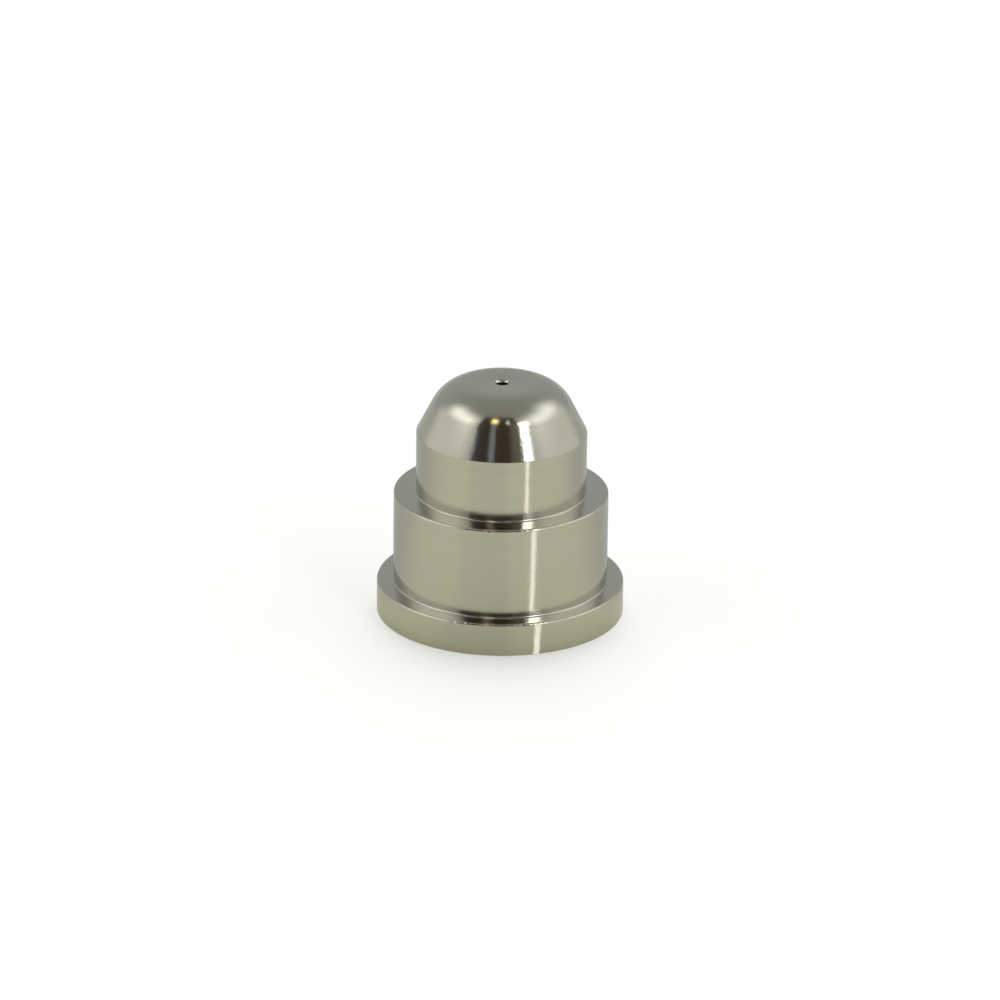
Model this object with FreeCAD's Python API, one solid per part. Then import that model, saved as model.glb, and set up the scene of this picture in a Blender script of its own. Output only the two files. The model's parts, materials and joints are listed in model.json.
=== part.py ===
import FreeCAD, Part
import math
import os

# Plasma torch nozzle: one turned piece, bored from the rear, with a small
# orifice through its tip.  The turning axis is +Z, the origin is the centre of
# the rear face, and the tip points up.  Lengths are in millimetres.

# Across the axis: every other radius builds on the rear bore and the orifice
rear_bore_radius = 7.5       # locating bore that the swirl ring enters
body_wall = 2.05             # wall around the rear bore
flange_overhang = 1.45       # flange outside the body, where the cap clamps it
seat_ledge_width = 2.3       # ledge at the end of the bore, under the swirl ring
nose_wall = 2.38             # wall around the electrode chamber
throat_radius = 0.55         # orifice that squeezes the arc
countersink_width = 0.17     # 45 degree flare at the mouth of the orifice

# Along the axis
flange_thickness = 3.0
body_length = 8.35           # flange front to shoulder
nose_length = 5.6            # shoulder to the foot of the cone
cone_length = 4.65           # foot of the cone to the flat tip
shoulder_wall = 2.35         # metal between the seat ledge and the shoulder
throat_length = 2.1          # orifice with its countersink

# Angles from the axis, in degrees
cone_half_angle = 27.0       # outside of the tip
drill_half_angle = 59.0      # point of the drill that opened the chamber

# Rounds and 45 degree edge breaks
crown_round = 3.65           # cone into the flat tip
corner_round = 0.35          # inside corners, as the turning tool leaves them
edge_break = 0.2             # front edges of the flange and the body
base_edge_break = 0.1        # rear edge of the flange
bore_lead_in = 0.3           # mouth of the rear bore

# Radii that follow
body_radius = rear_bore_radius + body_wall
flange_radius = body_radius + flange_overhang
chamber_radius = rear_bore_radius - seat_ledge_width
nose_radius = chamber_radius + nose_wall
mouth_radius = throat_radius + countersink_width
tip_radius = nose_radius - cone_length * math.tan(math.radians(cone_half_angle))

# Heights that follow, from the rear face
shoulder_height = flange_thickness + body_length
cone_height = shoulder_height + nose_length
tip_height = cone_height + cone_length
ledge_height = shoulder_height - shoulder_wall
throat_height = tip_height - throat_length
drill_point_length = (chamber_radius - throat_radius) / math.tan(math.radians(drill_half_angle))
chamber_height = throat_height - drill_point_length


def crownRoundThatFits():
    """Radius of the crown, limited by the flat tip and by the cone."""
    reach_per_radius = math.tan(math.radians(90 - cone_half_angle) / 2)
    flat_width = tip_radius - mouth_radius
    cone_slant = cone_length / math.cos(math.radians(cone_half_angle))
    return min(crown_round, 0.95 * min(flat_width, cone_slant) / reach_per_radius)


def roundedCorner(before, corner, after, radius):
    """Start, middle and end of the arc that rounds one corner."""
    toward_before = (before - corner).normalize()
    toward_after = (after - corner).normalize()
    half_opening = toward_before.getAngle(toward_after) / 2
    reach = radius / math.tan(half_opening)
    depth = radius / math.sin(half_opening) - radius
    bisector = (toward_before + toward_after).normalize()
    return [corner + toward_before * reach, corner + bisector * depth, corner + toward_after * reach]


def sectionFace(corners):
    """Closed face in the XZ plane from (radius, height, round) corners."""
    points = [FreeCAD.Vector(radius, 0, height) for radius, height, rounding in corners]
    runs = []
    for index, corner in enumerate(points):
        rounding = corners[index][2]
        after = points[(index + 1) % len(points)]
        if rounding > 0:
            runs.append(roundedCorner(points[index - 1], corner, after, rounding))
        else:
            runs.append([corner])
    edges = []
    for index, run in enumerate(runs):
        if len(run) == 3:
            edges.append(Part.Arc(*run).toShape())
        next_start = runs[(index + 1) % len(runs)][0]
        edges.append(Part.LineSegment(run[-1], next_start).toShape())
    return Part.Face(Part.Wire(edges))


# Outside, from the rear face up to the tip
outside = [
    (flange_radius - base_edge_break, 0, 0),
    (flange_radius, base_edge_break, 0),
    (flange_radius, flange_thickness - edge_break, 0),
    (flange_radius - edge_break, flange_thickness, 0),
    (body_radius, flange_thickness, corner_round),
    (body_radius, shoulder_height - edge_break, 0),
    (body_radius - edge_break, shoulder_height, 0),
    (nose_radius, shoulder_height, corner_round),
    (nose_radius, cone_height, 0),
    (tip_radius, tip_height, crownRoundThatFits()),
]

# Inside, from the mouth of the orifice back down to the rear face
inside = [
    (mouth_radius, tip_height, 0),
    (throat_radius, tip_height - countersink_width, 0),
    (throat_radius, throat_height, 0),
    (chamber_radius, chamber_height, 0),
    (chamber_radius, ledge_height, 0),
    (rear_bore_radius, ledge_height, 0),
    (rear_bore_radius, bore_lead_in, 0),
    (rear_bore_radius + bore_lead_in, 0, 0),
]

origin = FreeCAD.Vector(0, 0, 0)
turning_axis = FreeCAD.Vector(0, 0, 1)
nozzle = sectionFace(outside + inside).revolve(origin, turning_axis, 360)

os.makedirs("parts", exist_ok=True)
nozzle.exportStep("parts/nozzle.step")
print("nozzle: valid", nozzle.isValid(), "solids", len(nozzle.Solids), "volume", round(nozzle.Volume, 1))
print("chamber from", round(ledge_height, 3), "to", round(chamber_height, 3))
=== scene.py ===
import bmesh
import bpy
import json
import math
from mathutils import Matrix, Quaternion, Vector


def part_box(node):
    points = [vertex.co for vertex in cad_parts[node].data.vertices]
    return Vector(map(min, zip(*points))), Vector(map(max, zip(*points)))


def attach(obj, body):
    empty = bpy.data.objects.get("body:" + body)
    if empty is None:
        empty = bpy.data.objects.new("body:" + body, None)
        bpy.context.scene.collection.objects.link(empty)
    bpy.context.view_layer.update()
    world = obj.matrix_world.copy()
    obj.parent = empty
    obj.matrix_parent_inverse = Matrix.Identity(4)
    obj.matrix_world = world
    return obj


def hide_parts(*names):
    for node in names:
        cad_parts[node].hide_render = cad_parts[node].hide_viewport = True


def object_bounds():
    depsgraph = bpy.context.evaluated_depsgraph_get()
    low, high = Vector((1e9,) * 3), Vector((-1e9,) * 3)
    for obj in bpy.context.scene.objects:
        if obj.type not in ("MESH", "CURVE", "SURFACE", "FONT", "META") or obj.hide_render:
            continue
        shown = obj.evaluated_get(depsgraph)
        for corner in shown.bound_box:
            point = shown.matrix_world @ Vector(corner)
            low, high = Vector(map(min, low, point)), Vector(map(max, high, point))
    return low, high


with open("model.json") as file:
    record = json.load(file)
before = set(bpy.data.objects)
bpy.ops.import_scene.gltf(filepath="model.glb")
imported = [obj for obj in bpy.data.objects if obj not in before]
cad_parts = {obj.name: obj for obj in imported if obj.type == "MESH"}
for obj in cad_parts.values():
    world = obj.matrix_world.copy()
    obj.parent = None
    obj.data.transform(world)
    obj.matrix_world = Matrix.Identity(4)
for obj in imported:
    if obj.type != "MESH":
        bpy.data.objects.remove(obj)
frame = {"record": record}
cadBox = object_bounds()
print("frame loaded")

# radii that the mounts state, in metres
mountRadius = {}
for mount in frame["record"]["mounts"]:
    if "r_mm" in mount["dims"]:
        mountRadius[mount["name"]] = mount["dims"]["r_mm"] / 1000


# selecting, as by hand

def deselectAll():
    if bpy.context.object and bpy.context.object.mode != "OBJECT":
        bpy.ops.object.mode_set(mode="OBJECT")
    bpy.ops.object.select_all(action="DESELECT")


def isNear(point, radius, height, tolerance):
    return abs(math.hypot(point.x, point.y) - radius) + abs(point.z - height) < tolerance


def selectRing(piece, radius, height, tolerance):
    # in edit mode: the edges that run round the axis at this radius and height
    bpy.ops.mesh.select_all(action="DESELECT")
    mesh = bmesh.from_edit_mesh(piece.data)
    for edge in mesh.edges:
        if all(isNear(corner.co, radius, height, tolerance) for corner in edge.verts):
            edge.select_set(True)
    bmesh.update_edit_mesh(piece.data)


# the nozzle: a ring is turned up the outside, over the tip and back down through the bores

nozzleShape = {
    "segments": 288,
    "flangeThickness": 0.003,
    "shoulderHeight": 0.01135,
    "coneHeight": 0.01695,
    "coneHalfAngle": math.radians(27),
    "crownRound": 0.00365,
    "crownSteps": 28,
    "countersinkWidth": 0.00017,
    "throatLength": 0.0021,
    "drillHalfAngle": math.radians(59),
    "ledgeHeight": 0.009,
    "boreLeadIn": 0.0003,
    "cornerRound": 0.00016,
    "edgeRound": 0.0002,
    "baseEdgeRound": 0.0001,
    "fineRound": 0.00004,
    "mouthRound": 0.00002,
    "ledgeRound": 0.00008,
    "cornerSteps": 6,
    "edgeSteps": 5,
    "smallSteps": 3,
    "fineSteps": 2,
    "weldDistance": 0.000001,
    "ringTolerance": 0.000002,
    "shadingWeight": 90,
}


def nozzleStops(shape, flangeRadius, tipHeight):
    # the section as (radius, height) corners, and the corners to round with their sizes and steps
    bodyRadius = mountRadius["body_od"]
    noseRadius = mountRadius["nose_od"]
    boreRadius = mountRadius["rear_bore"]
    chamberRadius = mountRadius["electrode_chamber"]
    throatRadius = mountRadius["orifice"]
    lean = shape["coneHalfAngle"]
    cornerRadius = noseRadius - (tipHeight - shape["coneHeight"]) * math.tan(lean)
    flatRadius = cornerRadius - shape["crownRound"] * math.tan((math.pi / 2 - lean) / 2)
    throatHeight = tipHeight - shape["throatLength"]
    chamberHeight = throatHeight - (chamberRadius - throatRadius) / math.tan(shape["drillHalfAngle"])
    crown = []
    for step in range(shape["crownSteps"] + 1):
        angle = lean + (math.pi / 2 - lean) * step / shape["crownSteps"]
        radius = flatRadius + shape["crownRound"] * math.cos(angle)
        crown.append((radius, tipHeight - shape["crownRound"] * (1 - math.sin(angle))))
    outside = [
        (flangeRadius, 0),
        (flangeRadius, shape["flangeThickness"]),
        (bodyRadius, shape["flangeThickness"]),
        (bodyRadius, shape["shoulderHeight"]),
        (noseRadius, shape["shoulderHeight"]),
        (noseRadius, shape["coneHeight"]),
    ]
    inside = [
        (throatRadius + shape["countersinkWidth"], tipHeight),
        (throatRadius, tipHeight - shape["countersinkWidth"]),
        (throatRadius, throatHeight),
        (chamberRadius, chamberHeight),
        (chamberRadius, shape["ledgeHeight"]),
        (boreRadius, shape["ledgeHeight"]),
        (boreRadius, shape["boreLeadIn"]),
        (boreRadius + shape["boreLeadIn"], 0),
        (flangeRadius, 0),
    ]
    rounds = [
        (outside[0], shape["baseEdgeRound"], shape["smallSteps"]),
        (outside[1], shape["edgeRound"], shape["edgeSteps"]),
        (outside[2], shape["cornerRound"], shape["cornerSteps"]),
        (outside[3], shape["edgeRound"], shape["edgeSteps"]),
        (outside[4], shape["cornerRound"], shape["cornerSteps"]),
        (outside[5], shape["fineRound"], shape["fineSteps"]),
        (inside[0], shape["mouthRound"], shape["fineSteps"]),
        (inside[1], shape["fineRound"], shape["smallSteps"]),
        (inside[2], shape["fineRound"], shape["fineSteps"]),
        (inside[4], shape["ledgeRound"], shape["smallSteps"]),
        (inside[5], shape["ledgeRound"], shape["smallSteps"]),
    ]
    return outside + crown + inside, rounds


def makeNozzle(shape):
    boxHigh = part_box("nozzle")[1]
    stops, rounds = nozzleStops(shape, boxHigh.x, boxHigh.z)
    deselectAll()
    bpy.ops.mesh.primitive_circle_add(vertices=shape["segments"], radius=stops[0][0], location=(0, 0, 0))
    piece = bpy.context.object
    piece.name = "nozzleBody"
    bpy.ops.object.mode_set(mode="EDIT")
    bpy.ops.mesh.select_all(action="SELECT")
    for (radius, height), (nextRadius, nextHeight) in zip(stops, stops[1:]):
        bpy.ops.mesh.extrude_region_move(TRANSFORM_OT_translate={"value": (0, 0, nextHeight - height)})
        growth = nextRadius / radius
        bpy.ops.transform.resize(value=(growth, growth, 1), center_override=(0, 0, 0))
    bpy.ops.mesh.select_all(action="SELECT")
    bpy.ops.mesh.remove_doubles(threshold=shape["weldDistance"])
    bpy.ops.mesh.normals_make_consistent(inside=False)
    for (radius, height), size, steps in rounds:
        selectRing(piece, radius, height, shape["ringTolerance"])
        bpy.ops.mesh.bevel(offset=size, segments=steps, profile=0.5, affect="EDGES", clamp_overlap=True)
    bpy.ops.object.mode_set(mode="OBJECT")
    bpy.ops.object.shade_smooth()
    even = piece.modifiers.new("evenShading", "WEIGHTED_NORMAL")
    even.weight = shape["shadingWeight"]
    bpy.ops.object.modifier_apply(modifier=even.name)
    return piece


nozzle = makeNozzle(nozzleShape)
print("nozzle modelled", len(nozzle.data.polygons), "faces")


# small helpers for node trees

def calc(tree, operation, first, second=0.0):
    node = tree.nodes.new("ShaderNodeMath")
    node.operation = operation
    for socket, value in zip(node.inputs, (first, second)):
        feed(tree, value, socket)
    return node.outputs[0]


def feed(tree, value, socket):
    if isinstance(value, bpy.types.NodeSocket):
        tree.links.new(value, socket)
    else:
        socket.default_value = value


def fade(tree, value, start, end):
    # 0 at start and 1 at end, eased at both
    node = tree.nodes.new("ShaderNodeMapRange")
    node.interpolation_type = "SMOOTHSTEP"
    feed(tree, value, node.inputs["Value"])
    node.inputs["From Min"].default_value = start
    node.inputs["From Max"].default_value = end
    return node.outputs["Result"]


def mixColour(tree, share, first, second):
    node = tree.nodes.new("ShaderNodeMix")
    node.data_type = "RGBA"
    feed(tree, share, node.inputs["Factor"])
    feed(tree, first, node.inputs["A"])
    feed(tree, second, node.inputs["B"])
    return node.outputs["Result"]


def addShader(tree, first, second):
    node = tree.nodes.new("ShaderNodeAddShader")
    for socket, value in zip(node.inputs, (first, second)):
        tree.links.new(value, socket)
    return node.outputs[0]


def mixShader(tree, share, first, second):
    node = tree.nodes.new("ShaderNodeMixShader")
    for socket, value in zip(node.inputs, (share, first, second)):
        tree.links.new(value, socket)
    return node.outputs[0]


def noise(tree, dimensions, place, scale, detail):
    node = tree.nodes.new("ShaderNodeTexNoise")
    node.noise_dimensions = dimensions
    feed(tree, place, node.inputs["W" if dimensions == "1D" else "Vector"])
    feed(tree, scale, node.inputs["Scale"])
    node.inputs["Detail"].default_value = detail
    return node.outputs["Fac"]


def distance(tree, first, second):
    squares = calc(tree, "ADD", calc(tree, "POWER", first, 2.0), calc(tree, "POWER", second, 2.0))
    return calc(tree, "POWER", squares, 0.5)


def distanceFromAxis(tree, split):
    return distance(tree, split.outputs["X"], split.outputs["Y"])


def startGroup(name, sockets, results):
    group = bpy.data.node_groups.new(name, "ShaderNodeTree")
    group.interface.new_socket("Place", in_out="INPUT", socket_type="NodeSocketVector")
    for socket in sockets:
        group.interface.new_socket(socket, in_out="INPUT", socket_type="NodeSocketFloat")
    for result in results:
        group.interface.new_socket(result, in_out="OUTPUT", socket_type="NodeSocketFloat")
    given = group.nodes.new("NodeGroupInput")
    split = group.nodes.new("ShaderNodeSeparateXYZ")
    group.links.new(given.outputs["Place"], split.inputs[0])
    return group, given, split


# turning marks: fine rings round the axis, with the soft ripple that plating leaves over them

marksPattern = {
    "lineDetail": 4.0,
    "streaks": 1600.0,
    "streakDetail": 2.0,
    "rippleDetail": 3.0,
    "clouds": 260.0,
    "cloudDetail": 2.0,
}


def makeTurningMarks(pattern):
    sockets = ("Lines", "Line Depth", "Ripples", "Ripple Depth")
    group, given, split = startGroup("turningMarks", sockets, ("Height", "Streak", "Cloud"))
    made = group.nodes.new("NodeGroupOutput")
    along = calc(group, "SUBTRACT", split.outputs["Z"], distanceFromAxis(group, split))
    place = given.outputs["Place"]
    lines = noise(group, "1D", along, given.outputs["Lines"], pattern["lineDetail"])
    streak = noise(group, "1D", along, pattern["streaks"], pattern["streakDetail"])
    ripple = noise(group, "3D", place, given.outputs["Ripples"], pattern["rippleDetail"])
    cloud = noise(group, "3D", place, pattern["clouds"], pattern["cloudDetail"])
    height = calc(group, "ADD", calc(group, "MULTIPLY", lines, given.outputs["Line Depth"]),
                  calc(group, "MULTIPLY", ripple, given.outputs["Ripple Depth"]))
    group.links.new(height, made.inputs["Height"])
    group.links.new(streak, made.inputs["Streak"])
    group.links.new(cloud, made.inputs["Cloud"])
    return group


# nicks: tiny dents that handling leaves along one edge, given by its radius and height

nicksPattern = {
    "near": (1.0, 0.3),
    "grain": 3200.0,
    "detail": 2.0,
    "threshold": (0.5, 0.75),
}


def makeEdgeNicks(pattern):
    sockets = ("Radius", "Height", "Reach", "Depth")
    group, given, split = startGroup("edgeNicks", sockets, ("Height",))
    made = group.nodes.new("NodeGroupOutput")
    aside = calc(group, "SUBTRACT", distanceFromAxis(group, split), given.outputs["Radius"])
    above = calc(group, "SUBTRACT", split.outputs["Z"], given.outputs["Height"])
    away = calc(group, "DIVIDE", distance(group, aside, above), given.outputs["Reach"])
    near = fade(group, away, *pattern["near"])
    grain = noise(group, "3D", given.outputs["Place"], pattern["grain"], pattern["detail"])
    dents = fade(group, grain, *pattern["threshold"])
    share = calc(group, "MULTIPLY", near, dents)
    sunk = calc(group, "MULTIPLY", calc(group, "MULTIPLY", share, given.outputs["Depth"]), -1.0)
    group.links.new(sunk, made.inputs["Height"])
    return group


turningMarks = makeTurningMarks(marksPattern)
edgeNicks = makeEdgeNicks(nicksPattern)


# bright nickel over turned metal, for all of the nozzle

def makeNickel(name, look, edges):
    material = bpy.data.materials.new(name)
    material.use_nodes = True
    tree = material.node_tree
    shader = tree.nodes["Principled BSDF"]
    place = tree.nodes.new("ShaderNodeTexCoord").outputs["Object"]
    marks = tree.nodes.new("ShaderNodeGroup")
    marks.node_tree = turningMarks
    tree.links.new(place, marks.inputs["Place"])
    marks.inputs["Lines"].default_value = look["lines"]
    marks.inputs["Line Depth"].default_value = look["lineDepth"]
    marks.inputs["Ripples"].default_value = look["ripples"]
    marks.inputs["Ripple Depth"].default_value = look["rippleDepth"]
    cloud = fade(tree, marks.outputs["Cloud"], *look["cloudFade"])
    colour = mixColour(tree, cloud, look["warm"], look["cool"])
    streak = fade(tree, marks.outputs["Streak"], *look["lineFade"])
    lined = calc(tree, "MULTIPLY", streak, look["lineShade"])
    colour = mixColour(tree, lined, colour, look["shaded"])
    tree.links.new(colour, shader.inputs["Base Color"])
    shader.inputs["Metallic"].default_value = 1.0
    shader.inputs["Anisotropic"].default_value = look["anisotropic"]
    shader.inputs["Anisotropic Rotation"].default_value = look["turn"]
    rough = tree.nodes.new("ShaderNodeMapRange")
    tree.links.new(marks.outputs["Streak"], rough.inputs["Value"])
    rough.inputs["To Min"].default_value = look["smoothest"]
    rough.inputs["To Max"].default_value = look["roughest"]
    tree.links.new(rough.outputs["Result"], shader.inputs["Roughness"])
    height = marks.outputs["Height"]
    for radius, level in edges:
        nicks = tree.nodes.new("ShaderNodeGroup")
        nicks.node_tree = edgeNicks
        tree.links.new(place, nicks.inputs["Place"])
        nicks.inputs["Radius"].default_value = radius
        nicks.inputs["Height"].default_value = level
        nicks.inputs["Reach"].default_value = look["nickReach"]
        nicks.inputs["Depth"].default_value = look["nickDepth"]
        height = calc(tree, "ADD", height, nicks.outputs["Height"])
    bump = tree.nodes.new("ShaderNodeBump")
    bump.inputs["Strength"].default_value = 1.0
    bump.inputs["Distance"].default_value = 1.0
    tree.links.new(height, bump.inputs["Height"])
    tree.links.new(bump.outputs["Normal"], shader.inputs["Normal"])
    return material


nickelLook = {
    "warm": (0.545, 0.525, 0.455, 1),
    "cool": (0.535, 0.525, 0.465, 1),
    "shaded": (0.45, 0.435, 0.38, 1),
    "cloudFade": (0.3, 0.7),
    "lineFade": (0.35, 0.65),
    "lineShade": 0.1,
    "smoothest": 0.11,
    "roughest": 0.18,
    "anisotropic": 0.7,
    "turn": 0.25,
    "lines": 9000.0,
    "lineDepth": 0.0000004,
    "ripples": 3000.0,
    "rippleDepth": 0.000006,
    "nickReach": 0.0003,
    "nickDepth": 0.00002,
}
nozzleEdges = [
    (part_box("nozzle")[1].x, nozzleShape["flangeThickness"]),
    (mountRadius["body_od"], nozzleShape["shoulderHeight"]),
]
nickel = makeNickel("turnedNickel", nickelLook, nozzleEdges)
nozzle.data.materials.append(nickel)
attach(nozzle, "root")
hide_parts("nozzle")
print("nickel applied")


# floor: white to the eye, it keeps the nozzle's shadow and deepens it with a painted shadow near the
# base; the metal sees it glow with painted reflections, warm in front, darker behind, with a painted
# shade a little left of the front and one bright painted highlight strip; from below it is clear, so the
# bores can be seen

floorLook = {
    "size": 2.4,
    "gap": 0.00002,
    "tone": 0.5,
    "glow": 0.52,
    "paintedShadow": 0.1,
    "paintedShadowPlace": (0.0, -0.003),
    "paintedShadowNarrowed": 1.15,
    "paintedShadowFade": (0.0145, 0.007),
    "front": (0.25, 0.25, 0.14, 1),
    "shaded": (0.20, 0.20, 0.11, 1),
    "behind": (0.02, 0.03, 0.02, 1),
    "under": (0.42, 0.42, 0.38, 1),
    "paintedHighlightStrip": (1.25, 1.25, 1.12, 1),
    "behindFade": (70, 130),
    "shadedTurned": -15.0,
    "shadedFade": (27, 17),
    "underFade": (0.0112, 0.0108),
    "stripPlace": (-0.00078, -0.00533),
    "stripTurned": 37.4,
    "stripHalf": 2.2,
    "stripFade": (1.4, 0.6),
    "stripWaver": 3.0,
    "stripGrain": 650.0,
    "stripDetail": 2.0,
}


def turnedFrom(tree, split, place):
    # the angle round a point of the floor, 0 towards the front, in degrees
    aside = calc(tree, "SUBTRACT", split.outputs["X"], place[0])
    ahead = calc(tree, "SUBTRACT", place[1], split.outputs["Y"])
    return calc(tree, "MULTIPLY", calc(tree, "ARCTAN2", aside, ahead), math.degrees(1))


def makeFloor(look):
    deselectAll()
    bpy.ops.mesh.primitive_plane_add(size=look["size"], location=(0, 0, cadBox[0].z - look["gap"]))
    floor = bpy.context.object
    floor.name = "floor"
    material = bpy.data.materials.new("whiteFloor")
    material.use_nodes = True
    tree = material.node_tree
    tree.nodes.remove(tree.nodes["Principled BSDF"])
    matt = tree.nodes.new("ShaderNodeBsdfDiffuse")
    matt.inputs["Color"].default_value = (look["tone"], look["tone"], look["tone"], 1)
    split = tree.nodes.new("ShaderNodeSeparateXYZ")
    place = tree.nodes.new("ShaderNodeTexCoord").outputs["Object"]
    tree.links.new(place, split.inputs[0])
    # painted shadow: the white glow is dimmed in a patch round a point just in front of the base, on top
    # of the real shadow
    aside = calc(tree, "SUBTRACT", split.outputs["X"], look["paintedShadowPlace"][0])
    aside = calc(tree, "MULTIPLY", aside, look["paintedShadowNarrowed"])
    ahead = calc(tree, "SUBTRACT", split.outputs["Y"], look["paintedShadowPlace"][1])
    paintedShadow = fade(tree, distance(tree, aside, ahead), *look["paintedShadowFade"])
    glow = calc(tree, "SUBTRACT", look["glow"], calc(tree, "MULTIPLY", paintedShadow, look["paintedShadow"]))
    path = tree.nodes.new("ShaderNodeLightPath")
    seen = calc(tree, "MULTIPLY", path.outputs["Is Camera Ray"], glow)
    reflected = calc(tree, "MAXIMUM", path.outputs["Is Glossy Ray"], path.outputs["Is Transmission Ray"])
    turned = turnedFrom(tree, split, (0.0, 0.0))
    # painted reflection: the glow that only the metal sees is warm in front and fades to almost nothing
    # behind
    back = fade(tree, calc(tree, "ABSOLUTE", turned), *look["behindFade"])
    colour = mixColour(tree, back, look["front"], look["behind"])
    # painted shade: a darker wedge in that glow, a little to the left of the front
    offShade = calc(tree, "ABSOLUTE", calc(tree, "SUBTRACT", turned, look["shadedTurned"]))
    colour = mixColour(tree, fade(tree, offShade, *look["shadedFade"]), colour, look["shaded"])
    # painted highlight: one bright strip in that glow, with a wavering edge, which the walls mirror as
    # their upright streak
    offStrip = calc(tree, "SUBTRACT", turnedFrom(tree, split, look["stripPlace"]), look["stripTurned"])
    grain = noise(tree, "3D", place, look["stripGrain"], look["stripDetail"])
    waver = calc(tree, "MULTIPLY", calc(tree, "SUBTRACT", grain, 0.5), look["stripWaver"])
    offStrip = calc(tree, "ABSOLUTE", calc(tree, "ADD", offStrip, waver))
    stripStart, stripEnd = (look["stripHalf"] * factor for factor in look["stripFade"])
    colour = mixColour(tree, fade(tree, offStrip, stripStart, stripEnd), colour, look["paintedHighlightStrip"])
    # painted reflection under the base: a plain glow there for the underside to mirror
    under = fade(tree, distanceFromAxis(tree, split), *look["underFade"])
    colour = mixColour(tree, under, colour, look["under"])
    whiteGlow = tree.nodes.new("ShaderNodeEmission")
    tree.links.new(seen, whiteGlow.inputs["Strength"])
    paintedReflectionGlow = tree.nodes.new("ShaderNodeEmission")
    tree.links.new(colour, paintedReflectionGlow.inputs["Color"])
    tree.links.new(reflected, paintedReflectionGlow.inputs["Strength"])
    lit = addShader(tree, addShader(tree, matt.outputs[0], whiteGlow.outputs[0]), paintedReflectionGlow.outputs[0])
    fromBelow = tree.nodes.new("ShaderNodeNewGeometry").outputs["Backfacing"]
    clear = tree.nodes.new("ShaderNodeBsdfTransparent").outputs[0]
    surface = mixShader(tree, fromBelow, lit, clear)
    tree.links.new(surface, tree.nodes["Material Output"].inputs["Surface"])
    floor.data.materials.append(material)


makeFloor(floorLook)
print("floor laid")


# the light tent round the nozzle: angles in degrees, turned from the front and up from the floor;
# panels later in the list lie over earlier ones, and the camera sees plain white instead

tentLook = {
    "below": (0.86, 0.86, 0.80, 1),
    "horizon": (0.445, 0.46, 0.45, 1),
    "overhead": (0.34, 0.345, 0.32, 1),
    "overheadFade": (20, 75),
    "belowFade": (1, -1),
    "grain": 14.0,
    "grainDetail": 2.0,
    "waver": 9.0,
    "panels": [
        {"turned": -88, "up": 10, "half": (36, 12), "soft": (14, 8), "colour": (0.85, 0.86, 0.80, 1)},
        {"turned": 90, "up": 10, "half": (40, 12), "soft": (14, 8), "colour": (0.82, 0.83, 0.77, 1)},
        {"turned": -82, "up": 39, "half": (31, 12.5), "soft": (17, 12), "colour": (1.75, 1.78, 1.68, 1)},
        {"turned": 90, "up": 39, "half": (38, 13.5), "soft": (19, 13), "colour": (1.56, 1.59, 1.5, 1)},
        {"turned": -6, "up": 64, "half": (26, 5), "soft": (12, 7), "colour": (0.25, 0.225, 0.185, 1)},
        {"turned": -6, "up": 20, "half": (35.5, 43), "soft": (2.5, 8), "colour": (0.06, 0.045, 0.033, 1)},
        {"turned": -15, "up": 30, "half": (3.5, 14), "soft": (2, 5), "colour": (0.27, 0.31, 0.34, 1)},
        {"turned": -37, "up": 30, "half": (5, 20), "soft": (3, 6), "colour": (0.06, 0.065, 0.075, 1)},
        {"turned": 21, "up": 28, "half": (7, 22), "soft": (3, 6), "colour": (0.15, 0.14, 0.115, 1)},
        {"turned": -15, "up": 53, "half": (6, 5), "soft": (3, 3), "colour": (3.6, 2.8, 1.4, 1)},
        {"turned": 13, "up": 50, "half": (2, 4.5), "soft": (1.5, 2), "colour": (1.6, 1.6, 1.4, 1)},
        {"turned": 38.5, "up": 33, "half": (5.5, 11.5), "soft": (1.5, 2.5), "colour": (6, 6, 5.8, 1)},
        {"turned": 45, "up": 40, "half": (6.5, 5), "soft": (2, 2.5), "colour": (4, 4, 3.8, 1)},
    ],
}


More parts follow.
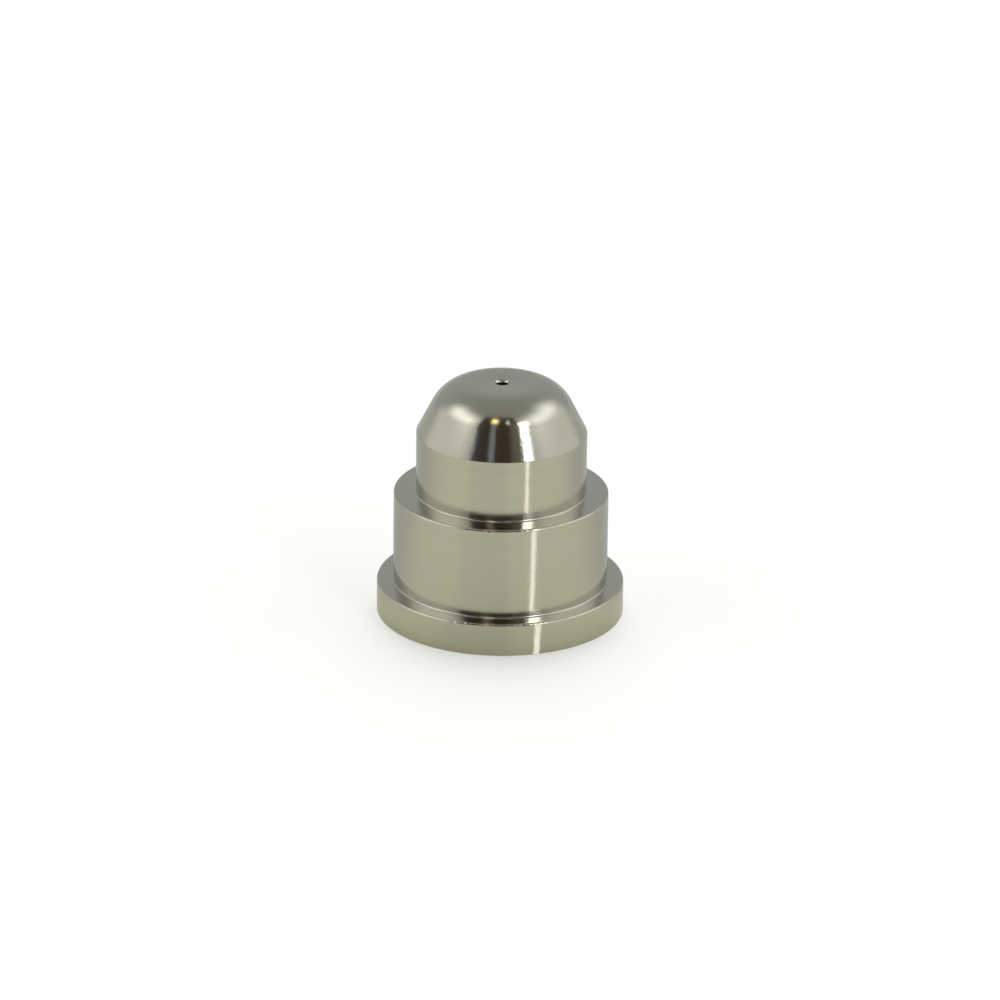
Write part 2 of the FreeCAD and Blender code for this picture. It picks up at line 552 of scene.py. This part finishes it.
def makeTent(look):
    world = bpy.data.worlds.new("lightTent")
    bpy.context.scene.world = world
    world.use_nodes = True
    tree = world.node_tree
    tree.nodes.clear()
    split = tree.nodes.new("ShaderNodeSeparateXYZ")
    direction = tree.nodes.new("ShaderNodeTexCoord").outputs["Generated"]
    tree.links.new(direction, split.inputs[0])
    toDegrees = math.degrees(1)
    towards = calc(tree, "MULTIPLY", split.outputs["Y"], -1.0)
    turned = calc(tree, "MULTIPLY", calc(tree, "ARCTAN2", split.outputs["X"], towards), toDegrees)
    up = calc(tree, "MULTIPLY", calc(tree, "ARCSINE", split.outputs["Z"]), toDegrees)
    grain = noise(tree, "3D", direction, look["grain"], look["grainDetail"])
    waver = calc(tree, "MULTIPLY", calc(tree, "SUBTRACT", grain, 0.5), look["waver"])
    turned = calc(tree, "ADD", turned, waver)
    colour = mixColour(tree, fade(tree, up, *look["overheadFade"]), look["horizon"], look["overhead"])
    colour = mixColour(tree, fade(tree, up, *look["belowFade"]), colour, look["below"])
    for panel in look["panels"]:
        share = 1.0
        for angle, middle, half, soft in ((turned, panel["turned"], panel["half"][0], panel["soft"][0]),
                                          (up, panel["up"], panel["half"][1], panel["soft"][1])):
            off = calc(tree, "ABSOLUTE", calc(tree, "SUBTRACT", angle, middle))
            share = calc(tree, "MULTIPLY", fade(tree, off, half + soft, half - soft), share)
        colour = mixColour(tree, share, colour, panel["colour"])
    tent = tree.nodes.new("ShaderNodeBackground")
    tree.links.new(colour, tent.inputs["Color"])
    white = tree.nodes.new("ShaderNodeBackground")
    white.inputs["Color"].default_value = (1, 1, 1, 1)
    toCamera = tree.nodes.new("ShaderNodeLightPath").outputs["Is Camera Ray"]
    surface = mixShader(tree, toCamera, tent.outputs[0], white.outputs[0])
    tree.links.new(surface, tree.nodes.new("ShaderNodeOutputWorld").inputs["Surface"])


makeTent(tentLook)


# a broad soft sun from behind brings matt surfaces up to a plain level and throws the shadow forward;
# the metal doesn't see it, because the tent is what it mirrors

sunLook = {
    "place": (0, 0.2, 0.3),
    "strength": 1.45,
    "softness": math.radians(55),
    "up": math.radians(50),
}


def makeSun(look):
    deselectAll()
    turn = (look["up"] - math.pi / 2, 0, 0)
    bpy.ops.object.light_add(type="SUN", location=look["place"], rotation=turn)
    sun = bpy.context.object
    sun.name = "softSun"
    sun.data.energy = look["strength"]
    sun.data.angle = look["softness"]
    sun.visible_glossy = False


makeSun(sunLook)
print("tent and sun lit")


# camera

cameraView = {
    "target": Vector((-0.00009, 0, 0.01038)),
    "distance": 0.62,
    "elevation": math.radians(22.1),
    "roll": math.radians(0.64),
    "lens": 251.0,
    "sensor": 36.0,
    "clip": (0.01, 10.0),
}


def makeCamera(view):
    deselectAll()
    back = Vector((0, -math.cos(view["elevation"]), math.sin(view["elevation"])))
    bpy.ops.object.camera_add(location=view["target"] + back * view["distance"])
    camera = bpy.context.object
    camera.rotation_mode = "QUATERNION"
    camera.rotation_quaternion = (-back).to_track_quat("-Z", "Y") @ Quaternion((0, 0, 1), view["roll"])
    camera.data.lens = view["lens"]
    camera.data.sensor_width = view["sensor"]
    camera.data.clip_start, camera.data.clip_end = view["clip"]
    bpy.context.scene.camera = camera


makeCamera(cameraView)
bpy.context.scene.view_settings.view_transform = "Standard"
print("camera set")

deselectAll()
